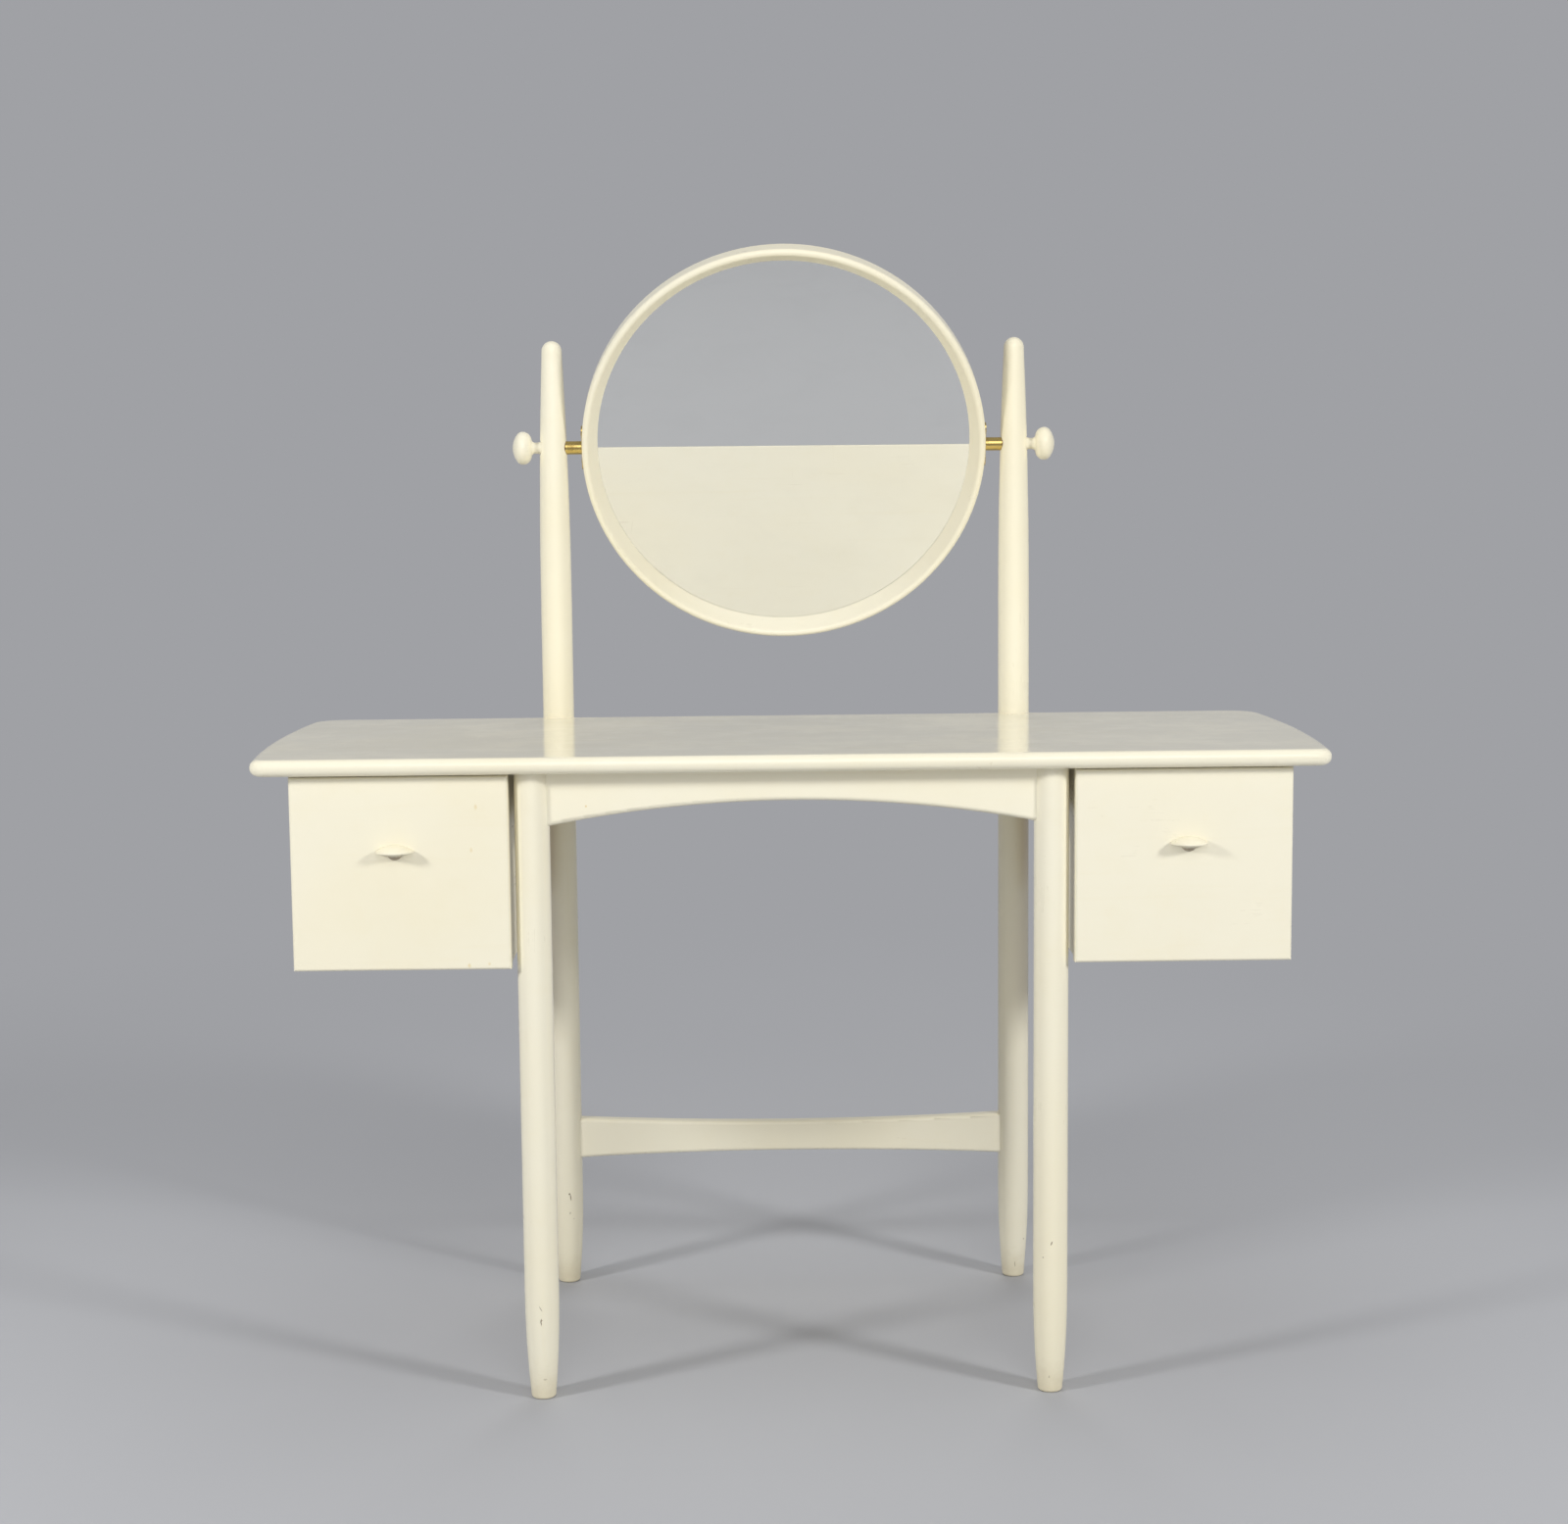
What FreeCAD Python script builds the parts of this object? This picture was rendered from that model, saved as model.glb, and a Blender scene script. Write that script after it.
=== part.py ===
import FreeCAD, Part
import math
import os

Vector = FreeCAD.Vector

# Table top
top_length = 1164.0            # end to end, at the fullest part of the bowed ends
end_bow = 12.0                 # how far each end swells past its corners
top_depth = 440.0
top_thickness = 18.0
table_height = 706.0
front_corner_radius = 18.0
rear_corner_radius = 40.0
edge_land = 0.4                # flat strip left in the middle of the rounded edge

# Turned legs and mirror posts
leg_spacing = 554.0            # between leg axes, left to right
front_leg_inset = 37.0         # from the front edge of the top to the front leg axis
leg_diameter = 37.4
foot_diameter = 27.0
foot_taper_height = 115.0
foot_rim = 3.0
post_height = 1158.0
post_straight = 144.0          # straight stretch of the post above the top
post_tip_diameter = 24.3       # where the rounded tip begins

# Frame under the top
rail_thickness = 18.0
rail_height = 60.0
rail_bite = 8.0                # how deep a side rail runs into the round leg
rail_parting = 0.5             # between an apron's end and the side rail inside the leg
arch_rise = 26.5
apron_edge_round = 5.0
stretcher_level = 182.8        # height of the stretcher's middle line
stretcher_end_height = 50.5
stretcher_waist = 36.5
stretcher_edge_round = 4.0
dowel_diameter = 8.0
dowel_length = 36.0
apron_dowel_drops = (12.0, 40.0)    # below the underside of the top
rail_dowel_drops = (26.0, 52.0)
stretcher_dowel_pitch = 24.0
block_size = 50.0
block_height = 30.0
block_leg_gap = 2.0            # between a corner block and the round leg
glue_gap = 0.1                 # room left all round a glued joint or a screw

# Drawer cases
drawer_leg_gap = 4.8           # between the leg and the drawer front
drawer_top_gap = 2.0           # between the top and the drawer front
drawer_setback = 17.0          # drawer front behind the front edge of the top
case_margin = 1.0              # the drawer front covers the case by this at each side
case_floor_margin = 4.0        # and by this below
case_depth = 360.0
case_wall = 14.0
case_panel = 10.0
case_back_thickness = 6.0
case_rebate = 5.0
runner_height = 12.0
runner_length = 320.0
runner_front_inset = 8.0
runner_level = 90.0            # groove's upper face above the drawer's lower edge

# Drawers
drawer_front_width = 231.5
drawer_front_height = 208.0
drawer_front_thickness = 16.0
drawer_front_round = 3.0
drawer_height = 165.0
drawer_length = 340.0
drawer_wall = 12.0
drawer_back_thickness = 10.0
drawer_back_inset = 12.0
drawer_bottom_thickness = 4.0
drawer_bottom_rise = 8.0
drawer_housing = 6.0           # drawer sides let into the front
panel_groove = 5.0             # bottom and back let into the sides
runner_groove = 6.0
groove_stop = 4.0              # plain stretch of each side behind the front, before the groove
drawer_side_gap = 1.5
drawer_floor_gap = 8.0
closing_gap = 0.3              # between the closed front and the case
runner_seat_gap = 0.3          # between the runner and the groove's upper face
runner_under_gap = 0.7

# Drawer pulls, each half of a turned mushroom
pull_radius = 20.0
pull_dome = 6.0
pull_rim = 2.6
pull_stem_drop = 1.6           # from the rim's lower edge to the top of the stem
pull_hollow = 0.6              # scooped underside between rim and stem
pull_stem_radius = 8.4         # the stem is a short bowl under the lip
pull_tail = 10.5
pull_drop = 78.6               # below the upper edge of the drawer front
pull_offset = 4.9              # outwards from the middle of the drawer front
pull_screw_spread = 9.0
pull_screw_rise = 0.6
pull_screw_length = 26.0

# Mirror
pivot_height = 1031.0
mirror_tilt = 18.35            # forward lean, in degrees
ring_diameter = 484.8
ring_depth = 31.0
ring_width = 18.0              # from the outer wall to the edge of the glass
ring_crest_round = 4.5         # outer edge of the ring's face; a straight reveal slopes from it to the glass
ring_land = 2.0                # upright edge of the reveal at the glass
ring_back_round = 3.0
rebate_width = 6.0
rebate_depth = 8.0
glass_thickness = 3.0
backboard_thickness = 3.0
glass_play = 0.5               # round the edge of the glass and the backboard
pin_diameter = 1.2
pin_length = 12.0
pin_count = 12

# Mirror pivots and clamp knobs
plate_height = 54.0
plate_width = 14.0
plate_thickness = 2.0
plate_seat_depth = 1.5
plate_screw_spread = 17.0
plate_screw_length = 11.0
rod_diameter = 6.0
rod_play = 0.06                # running fit of the rod, all round
sleeve_diameter = 16.0
washer_thickness = 1.0
clamp_play = 0.1               # between faces that the knob draws together
seat_margin = 0.7              # spot face wider than what sits in it
knob_length = 36.5
knob_head_diameter = 39.5
knob_base_diameter = 18.8
knob_neck_diameter = 13.2
knob_neck_position = 9.3       # outwards from the knob's foot
knob_rim_position = 24.5
knob_neck_round = 4.5
knob_rim_round = 8.0
insert_diameter = 9.0
insert_length = 16.0
rod_end_room = 2.0

# Countersunk wood screws: shank diameter, head diameter
screw_shank = 4.0
screw_head = 8.0
small_screw_shank = 3.0
small_screw_head = 5.6
top_screw_bite = 11.0          # into the underside of the top
case_screw_inset = 28.0        # from the outside of the case
runner_screw_length = 16.0
runner_screw_inset = 50.0

same_place = 0.01              # edges nearer than this to a face lie on it

# Places worked out from the sizes above
leg_radius = leg_diameter / 2
leg_x = leg_spacing / 2
top_underside = table_height - top_thickness
ring_radius = ring_diameter / 2
tilt = math.radians(mirror_tilt)
mirror_reach = ((ring_radius - ring_back_round) * math.sin(tilt)
                + (ring_depth / 2 - ring_back_round) * math.cos(tilt) + ring_back_round)
front_reach = pull_radius - drawer_setback
front_edge_y = (front_reach - top_depth - mirror_reach) / 2
rear_edge_y = front_edge_y + top_depth
front_leg_y = front_edge_y + front_leg_inset
post_y = rear_edge_y
rear_apron_y = rear_edge_y - rail_thickness / 2
apron_end = leg_x - rail_thickness / 2 - rail_parting
block_corner_cut = math.sqrt(2) * (leg_radius + block_leg_gap) - rail_thickness

front_x = leg_x + leg_radius + drawer_leg_gap
front_far_x = front_x + drawer_front_width
front_face_y = front_edge_y + drawer_setback
front_back_y = front_face_y + drawer_front_thickness
front_top = top_underside - drawer_top_gap
front_floor = front_top - drawer_front_height
pull_x = (front_x + front_far_x) / 2 + pull_offset
pull_z = front_top - pull_drop
case_x = front_x + case_margin
case_far_x = front_far_x - case_margin
case_y = front_back_y + closing_gap
case_far_y = case_y + case_depth
case_floor = front_floor + case_floor_margin
box_x = case_x + case_wall + drawer_side_gap
box_far_x = case_far_x - case_wall - drawer_side_gap
box_y = front_back_y - drawer_housing
box_far_y = front_back_y + drawer_length
box_floor = case_floor + case_panel + drawer_floor_gap
box_top = box_floor + drawer_height
groove_top = box_floor + runner_level
groove_floor = groove_top - runner_seat_gap - runner_height - runner_under_gap
bottom_z = box_floor + drawer_bottom_rise
bottom_top_z = bottom_z + drawer_bottom_thickness
back_far_y = box_far_y - drawer_back_inset
back_y = back_far_y - drawer_back_thickness
mouth_radius = ring_radius - ring_width
rebate_radius = mouth_radius + rebate_width


def box(x0, x1, y0, y1, z0, z1):
    return Part.makeBox(x1 - x0, y1 - y0, z1 - z0, Vector(x0, y0, z0))


def line(p, q):
    return Part.LineSegment(Vector(*p), Vector(*q)).toShape()


def arc(p, q, r):
    return Part.Arc(Vector(*p), Vector(*q), Vector(*r)).toShape()


def flat(r, z):
    return (r, 0.0, z)


def bend(centre_r, centre_z, radius, start, end):
    # Arc of a turned outline about its own centre, from one angle to another.
    angles = (start, (start + end) / 2, end)
    return arc(*[flat(centre_r + radius * math.cos(a), centre_z + radius * math.sin(a)) for a in angles])


def turn(edges, angle=360.0):
    profile = Part.Face(Part.Wire(edges))
    return profile.revolve(Vector(0, 0, 0), Vector(0, 0, 1), angle)


def turned_between(points):
    corners = [flat(*p) for p in points]
    return turn([line(p, q) for p, q in zip(corners, corners[1:] + corners[:1])])


def moved(shape, x, y, z):
    copy = shape.copy()
    copy.translate(Vector(x, y, z))
    return copy


def aimed(shape, direction, x, y, z):
    copy = shape.copy()
    place = FreeCAD.Placement(Vector(x, y, z), FreeCAD.Rotation(Vector(0, 0, 1), Vector(*direction)))
    copy.Placement = place.multiply(shape.Placement)
    return copy


def mirrored(shape):
    return shape.mirror(Vector(0, 0, 0), Vector(1, 0, 0))


def cut_all(shape, tools):
    for tool in tools:
        shape = shape.cut(tool)
    return shape


def swelled_edge(wide_r, wide_z, narrow_r, narrow_z):
    # An arc that leaves the straight shaft without a break and draws in to the narrow end.
    draw = wide_r - narrow_r
    reach = narrow_z - wide_z
    sweep_radius = (draw ** 2 + reach ** 2) / (2 * draw)
    half = math.asin(reach / sweep_radius) / 2
    middle = (wide_r - sweep_radius * (1 - math.cos(half)), wide_z + sweep_radius * math.sin(half))
    return arc(flat(wide_r, wide_z), flat(*middle), flat(narrow_r, narrow_z))


def dome_edge(radius, base_z, rise):
    # Part of a ball centred on the turning axis, from the rim up to the crown.
    ball = (radius ** 2 + rise ** 2) / (2 * rise)
    half = math.asin(radius / ball) / 2
    crown_z = base_z + rise
    middle = (ball * math.sin(half), crown_z - ball * (1 - math.cos(half)))
    return arc(flat(radius, base_z), flat(*middle), flat(0, crown_z))


def foot_edges():
    foot_r = foot_diameter / 2
    return [
        line(flat(0, 0), flat(foot_r - foot_rim, 0)),
        bend(foot_r - foot_rim, foot_rim, foot_rim, -math.pi / 2, 0),
        swelled_edge(leg_radius, foot_taper_height, foot_r, foot_rim),
    ]


def turned_leg():
    return turn(foot_edges() + [
        line(flat(leg_radius, foot_taper_height), flat(leg_radius, top_underside)),
        line(flat(leg_radius, top_underside), flat(0, top_underside)),
        line(flat(0, top_underside), flat(0, 0)),
    ])


def turned_post():
    taper_z = table_height + post_straight
    tip_r = post_tip_diameter / 2
    tip_z = post_height - tip_r
    return turn(foot_edges() + [
        line(flat(leg_radius, foot_taper_height), flat(leg_radius, taper_z)),
        swelled_edge(leg_radius, taper_z, tip_r, tip_z),
        dome_edge(tip_r, tip_z, tip_r),
        line(flat(0, post_height), flat(0, 0)),
    ])


def screw(length, shank, head, room=0.0):
    # Countersunk screw standing on its head, point upwards; room gives the hole for it.
    head_r = head / 2 + room
    shank_r = shank / 2 + room
    cone = head_r - shank_r
    return turned_between([(0, -room), (head_r, -room), (shank_r, cone), (shank_r, length - shank),
                           (0, length + room)])


def rounded_edges(solid, radius, chosen):
    return solid.makeFillet(radius, [edge for edge in solid.Edges if chosen(edge)])


def is_upright(edge):
    return edge.BoundBox.ZLength > top_thickness - same_place


def table_top():
    corner_x = top_length / 2 - end_bow
    middle_y = (front_edge_y + rear_edge_y) / 2
    front_left = (-corner_x, front_edge_y, top_underside)
    front_right = (corner_x, front_edge_y, top_underside)
    rear_left = (-corner_x, rear_edge_y, top_underside)
    rear_right = (corner_x, rear_edge_y, top_underside)
    outline = Part.Wire([
        line(front_left, front_right),
        arc(front_right, (top_length / 2, middle_y, top_underside), rear_right),
        line(rear_right, rear_left),
        arc(rear_left, (-top_length / 2, middle_y, top_underside), front_left),
    ])
    board = Part.Face(outline).extrude(Vector(0, 0, top_thickness))
    board = rounded_edges(board, front_corner_radius,
                          lambda e: is_upright(e) and e.BoundBox.YMax < front_edge_y + same_place)
    board = rounded_edges(board, rear_corner_radius,
                          lambda e: is_upright(e) and e.BoundBox.YMin > rear_edge_y - same_place)
    board = rounded_edges(board, (top_thickness - edge_land) / 2, lambda e: e.BoundBox.ZLength < same_place)
    notch = Part.makeCylinder(leg_radius + glue_gap, top_thickness, Vector(leg_x, post_y, top_underside))
    return cut_all(board, [notch, mirrored(notch)] + top_screw_holes())


def arched_board(y, edges, edge_round):
    board = Part.Face(Part.Wire(edges)).extrude(Vector(0, rail_thickness, 0))
    board.translate(Vector(0, y - rail_thickness / 2, 0))
    return rounded_edges(board, edge_round, lambda e: isinstance(e.Curve, Part.Circle))


def front_apron():
    end_z = top_underside - rail_height
    edges = [
        line((-apron_end, 0, end_z), (-apron_end, 0, top_underside)),
        line((-apron_end, 0, top_underside), (apron_end, 0, top_underside)),
        line((apron_end, 0, top_underside), (apron_end, 0, end_z)),
        arc((apron_end, 0, end_z), (0, 0, end_z + arch_rise), (-apron_end, 0, end_z)),
    ]
    return arched_board(front_leg_y, edges, apron_edge_round)


def rear_stretcher():
    end_half = stretcher_end_height / 2
    waist_half = stretcher_waist / 2
    low = stretcher_level - end_half
    high = stretcher_level + end_half
    edges = [
        line((-apron_end, 0, low), (-apron_end, 0, high)),
        arc((-apron_end, 0, high), (0, 0, stretcher_level + waist_half), (apron_end, 0, high)),
        line((apron_end, 0, high), (apron_end, 0, low)),
        arc((apron_end, 0, low), (0, 0, stretcher_level - waist_half), (-apron_end, 0, low)),
    ]
    return arched_board(post_y, edges, stretcher_edge_round)


def rear_apron():
    return box(-apron_end, apron_end, rear_apron_y - rail_thickness / 2, rear_edge_y,
               top_underside - rail_height, top_underside)


def side_rail():
    return box(leg_x - rail_thickness / 2, leg_x + rail_thickness / 2, front_leg_y + leg_radius - rail_bite,
               post_y - leg_radius + rail_bite, top_underside - rail_height, top_underside)


def dowel_places():
    # Middle point and direction of each dowel on the right-hand side of the frame.
    places = []
    for drop in apron_dowel_drops:
        z = top_underside - drop
        places.append(((apron_end, front_leg_y, z), (1, 0, 0)))
        places.append(((apron_end, rear_apron_y, z), (1, 0, 0)))
    for drop in rail_dowel_drops:
        z = top_underside - drop
        places.append(((leg_x, front_leg_y + leg_radius - rail_bite, z), (0, -1, 0)))
        places.append(((leg_x, post_y - leg_radius + rail_bite, z), (0, 1, 0)))
    for side in (-1, 1):
        places.append(((apron_end, post_y, stretcher_level + side * stretcher_dowel_pitch / 2), (1, 0, 0)))
    return places


def dowels(room=0.0):
    pegs = []
    for middle, way in dowel_places():
        half = dowel_length / 2 + room
        start = Vector(*middle) - Vector(*way) * half
        pegs.append(Part.makeCylinder(dowel_diameter / 2 + room, 2 * half, start, Vector(*way)))
    return pegs


def both_sides(solids):
    return solids + [mirrored(solid) for solid in solids]


def corner_block(corner_y, inward):
    corner_x = leg_x - rail_thickness / 2
    z = top_underside - block_height
    outline = [(corner_x - block_corner_cut, corner_y), (corner_x - block_size, corner_y),
               (corner_x, corner_y + inward * block_size), (corner_x, corner_y + inward * block_corner_cut)]
    points = [(x, y, z) for x, y in outline]
    wire = Part.Wire([line(p, q) for p, q in zip(points, points[1:] + points[:1])])
    return Part.Face(wire).extrude(Vector(0, 0, block_height))


def block_corners():
    return [(front_leg_y + rail_thickness / 2, 1), (rear_edge_y - rail_thickness, -1)]


def top_screw_places():
    # Head of each screw on the right-hand side, and the thickness that it holds up to the top.
    inset = (block_size + block_corner_cut) / 4    # middle of a corner block
    block_x = leg_x - rail_thickness / 2 - inset
    places = [(block_x, y + way * inset, block_height) for y, way in block_corners()]
    for x in (case_x + case_screw_inset, case_far_x - case_screw_inset):
        for y in (case_y + case_screw_inset, case_far_y - case_screw_inset):
            places.append((x, y, case_panel))
    return places


def top_screws(room=0.0):
    screws = []
    for x, y, grip in top_screw_places():
        shape = screw(grip + top_screw_bite, screw_shank, screw_head, room)
        screws.append(moved(shape, x, y, top_underside - grip))
    return screws


def top_screw_holes():
    return both_sides(top_screws(glue_gap))


def corner_blocks():
    blocks = [corner_block(y, way) for y, way in block_corners()]
    holes = top_screws(glue_gap)
    return both_sides([cut_all(block, holes) for block in blocks])


def front_leg(apron, rail):
    leg = moved(turned_leg(), leg_x, front_leg_y, 0)
    return cut_all(leg, [apron, rail] + dowels(glue_gap))


def pivot_seat(diameter):
    # Distance from the post's axis to a spot face as wide as the piece that sits on it.
    taper_z = table_height + post_straight
    draw = leg_radius - post_tip_diameter / 2
    reach = post_height - post_tip_diameter / 2 - taper_z
    sweep_radius = (draw ** 2 + reach ** 2) / (2 * draw)
    rise = max(pivot_height + diameter / 2 - taper_z, 0.0)
    post_r = leg_radius - sweep_radius + math.sqrt(sweep_radius ** 2 - rise ** 2)
    return math.sqrt(post_r ** 2 - (diameter / 2) ** 2)


def inner_seat_x():
    return leg_x - pivot_seat(sleeve_diameter + 2 * seat_margin)


def outer_seat_x():
    return leg_x + pivot_seat(knob_base_diameter + 2 * seat_margin)


def along_pivot(radius, x0, x1):
    return Part.makeCylinder(radius, x1 - x0, Vector(x0, post_y, pivot_height), Vector(1, 0, 0))


def rear_post(rear_board, rail, stretcher):
    post = moved(turned_post(), leg_x, post_y, 0)
    bore = along_pivot(rod_diameter / 2 + rod_play, leg_x - leg_diameter, leg_x + leg_diameter)
    inner = along_pivot(sleeve_diameter / 2 + seat_margin, leg_x - leg_diameter, inner_seat_x())
    outer = along_pivot(knob_base_diameter / 2 + seat_margin, outer_seat_x(), leg_x + leg_diameter)
    return cut_all(post, [rear_board, rail, stretcher, bore, inner, outer] + dowels(glue_gap))


def case_sides():
    holes = runner_screws(glue_gap)
    panels = [case_top_panel(glue_gap), case_bottom_panel(glue_gap), case_back_panel(glue_gap)]
    inner = box(case_x, case_x + case_wall, case_y, case_far_y, case_floor, top_underside)
    outer = box(case_far_x - case_wall, case_far_x, case_y, case_far_y, case_floor, top_underside)
    return cut_all(inner, panels + holes), cut_all(outer, panels + holes)


def case_panel_between(z0, z1, room):
    inner = case_x + case_wall - case_rebate - room
    outer = case_far_x - case_wall + case_rebate + room
    return box(inner, outer, case_y, case_far_y - case_back_thickness, z0 - room, z1 + room)


def case_top_panel(room=0.0):
    return case_panel_between(top_underside - case_panel, top_underside, room)


def case_bottom_panel(room=0.0):
    return case_panel_between(case_floor, case_floor + case_panel, room)


def case_back_panel(room=0.0):
    inner = case_x + case_wall - case_rebate - room
    outer = case_far_x - case_wall + case_rebate + room
    return box(inner, outer, case_far_y - case_back_thickness, case_far_y, case_floor, top_underside)


def runners():
    depth = drawer_side_gap + runner_groove - 2 * runner_seat_gap
    y = case_y + runner_front_inset
    top = groove_top - runner_seat_gap
    inner_x = case_x + case_wall
    outer_x = case_far_x - case_wall
    inner = box(inner_x, inner_x + depth, y, y + runner_length, top - runner_height, top)
    outer = box(outer_x - depth, outer_x, y, y + runner_length, top - runner_height, top)
    holes = runner_screws(glue_gap)
    return [cut_all(inner, holes), cut_all(outer, holes)]


def runner_screws(room=0.0):
    depth = drawer_side_gap + runner_groove - 2 * runner_seat_gap
    y = case_y + runner_front_inset
    z = groove_top - runner_seat_gap - runner_height / 2
    shape = screw(runner_screw_length, small_screw_shank, small_screw_head, room)
    screws = []
    for along in (y + runner_screw_inset, y + runner_length - runner_screw_inset):
        screws.append(aimed(shape, (-1, 0, 0), case_x + case_wall + depth, along, z))
        screws.append(aimed(shape, (1, 0, 0), case_far_x - case_wall - depth, along, z))
    return screws


def drawer_bottom(room=0.0):
    return box(box_x + drawer_wall - panel_groove - room, box_far_x - drawer_wall + panel_groove + room,
               front_back_y - panel_groove - room, back_far_y + room, bottom_z - room, bottom_top_z + room)


def drawer_back(room=0.0):
    return box(box_x + drawer_wall - panel_groove - room, box_far_x - drawer_wall + panel_groove + room,
               back_y - room, back_far_y + room, bottom_top_z, box_top)


def drawer_sides(room=0.0):
    def side_at(x):
        far_x = x + drawer_wall + room
        return box(x - room, far_x, box_y - room, box_far_y, box_floor - room, box_top + room)

    return side_at(box_x), side_at(box_far_x - drawer_wall)


def grooved_sides():
    inner, outer = drawer_sides()
    groove_y = front_back_y + groove_stop
    inner_groove = box(box_x, box_x + runner_groove, groove_y, box_far_y, groove_floor, groove_top)
    outer_groove = box(box_far_x - runner_groove, box_far_x, groove_y, box_far_y, groove_floor, groove_top)
    slide_in = drawer_bottom(glue_gap)
    slide_in = slide_in.fuse(moved(slide_in, 0, drawer_back_inset, 0))
    tools = [slide_in, drawer_back(glue_gap)]
    return cut_all(inner, tools + [inner_groove]), cut_all(outer, tools + [outer_groove])


def drawer_front():
    board = box(front_x, front_far_x, front_face_y, front_back_y, front_floor, front_top)
    board = rounded_edges(board, drawer_front_round, lambda e: e.BoundBox.YMax < front_face_y + same_place)
    inner, outer = drawer_sides(glue_gap)
    return cut_all(board, [inner, outer, drawer_bottom(glue_gap)] + pull_screws(glue_gap))


def drawer_pull():
    rim_r = pull_radius - pull_rim / 2
    stem_z = -pull_rim - pull_stem_drop
    under = ((rim_r + pull_stem_radius) / 2, (stem_z - pull_rim) / 2 + pull_hollow)
    edges = [
        line(flat(0, -pull_tail), flat(0, pull_dome)),
        dome_edge(rim_r, 0, pull_dome),
        arc(flat(rim_r, 0), flat(pull_radius, -pull_rim / 2), flat(rim_r, -pull_rim)),
        arc(flat(rim_r, -pull_rim), flat(*under), flat(pull_stem_radius, stem_z)),
        dome_edge(pull_stem_radius, stem_z, -pull_tail - stem_z),
    ]
    half = moved(turn(edges, -180.0), pull_x, front_face_y, pull_z)
    return cut_all(half, pull_screws(glue_gap))


def pull_screws(room=0.0):
    shape = screw(pull_screw_length, small_screw_shank, small_screw_head, room)
    level = pull_z + pull_screw_rise
    places = (pull_x - pull_screw_spread, pull_x + pull_screw_spread)
    return [aimed(shape, (0, -1, 0), x, front_back_y, level) for x in places]


def upright(shape):
    # Pieces of the mirror are turned about the vertical, then stood up to face forwards.
    return aimed(shape, (0, -1, 0), 0, post_y, pivot_height)


def leaning(shape):
    copy = shape.copy()
    copy.rotate(Vector(0, post_y, pivot_height), Vector(1, 0, 0), mirror_tilt)
    return copy


def mirror_ring():
    front = ring_depth / 2
    back = -ring_depth / 2
    rebate_z = back + rebate_depth
    land_z = rebate_z + ring_land
    crest_r = ring_radius - ring_crest_round
    crest_z = front - ring_crest_round
    run = crest_r - mouth_radius
    fall = crest_z - land_z
    turn_in = math.pi + math.atan2(fall, run) - math.acos(ring_crest_round / math.hypot(run, fall))
    reveal_r = crest_r + ring_crest_round * math.cos(turn_in)
    reveal_z = crest_z + ring_crest_round * math.sin(turn_in)
    edges = [
        line(flat(ring_radius, back + ring_back_round), flat(ring_radius, crest_z)),
        bend(crest_r, crest_z, ring_crest_round, 0, turn_in),
        line(flat(reveal_r, reveal_z), flat(mouth_radius, land_z)),
        line(flat(mouth_radius, land_z), flat(mouth_radius, rebate_z)),
        line(flat(mouth_radius, rebate_z), flat(rebate_radius, rebate_z)),
        line(flat(rebate_radius, rebate_z), flat(rebate_radius, back)),
        line(flat(rebate_radius, back), flat(ring_radius - ring_back_round, back)),
        bend(ring_radius - ring_back_round, back + ring_back_round, ring_back_round, -math.pi / 2, 0),
    ]
    ring = upright(turn(edges))
    half_width = plate_width / 2 + glue_gap
    half_height = plate_height / 2 + glue_gap
    seat = box(ring_radius - plate_seat_depth, ring_radius + plate_thickness, post_y - half_width,
               post_y + half_width, pivot_height - half_height, pivot_height + half_height)
    return cut_all(ring, both_sides([seat] + plate_screws(glue_gap)) + backboard_pins(glue_gap))


def mirror_disc(thickness, rise):
    disc = Part.makeCylinder(rebate_radius - glass_play, thickness)
    return upright(moved(disc, 0, 0, -ring_depth / 2 + rebate_depth - rise - thickness))


def backboard_pins(room=0.0):
    # Pins driven outwards into the rebate wall, lying on the backboard.
    level = -ring_depth / 2 + rebate_depth - glass_thickness - backboard_thickness - pin_diameter / 2
    start = rebate_radius - pin_length / 2
    pins = []
    for step in range(pin_count):
        angle = 2 * math.pi * (step + 0.5) / pin_count
        way = Vector(math.cos(angle), math.sin(angle), 0)
        base = way * start + Vector(0, 0, level)
        pin = Part.makeCylinder(pin_diameter / 2 + room, pin_length + room, base, way)
        pins.append(upright(pin))
    return pins


def plate_screws(room=0.0):
    shape = screw(plate_screw_length, small_screw_shank, small_screw_head, room)
    face_x = ring_radius - plate_seat_depth + plate_thickness
    levels = (pivot_height - plate_screw_spread, pivot_height + plate_screw_spread)
    return [aimed(shape, (-1, 0, 0), face_x, post_y, level) for level in levels]


def pivot_plate():
    back_x = ring_radius - plate_seat_depth
    straight = plate_height - plate_width
    plate = box(back_x, back_x + plate_thickness, post_y - plate_width / 2, post_y + plate_width / 2,
                pivot_height - straight / 2, pivot_height + straight / 2)
    for side in (-1, 1):
        centre = Vector(back_x, post_y, pivot_height + side * straight / 2)
        plate = plate.fuse(Part.makeCylinder(plate_width / 2, plate_thickness, centre, Vector(1, 0, 0)))
    plate = plate.removeSplitter()
    rod_hole = along_pivot(rod_diameter / 2 + glue_gap / 2, back_x, back_x + plate_thickness)
    return cut_all(plate, [rod_hole] + plate_screws(glue_gap))


def rod_end_x():
    return outer_seat_x() + clamp_play + insert_length


def pivot_rod():
    return along_pivot(rod_diameter / 2, ring_radius - plate_seat_depth, rod_end_x())


def ring_of(radius, bore, x0, x1):
    return along_pivot(radius, x0, x1).cut(along_pivot(bore, x0, x1))


def spacer_sleeve():
    plate_face = ring_radius - plate_seat_depth + plate_thickness
    end = inner_seat_x() - washer_thickness - clamp_play
    return ring_of(sleeve_diameter / 2, rod_diameter / 2 + rod_play, plate_face, end)


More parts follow.
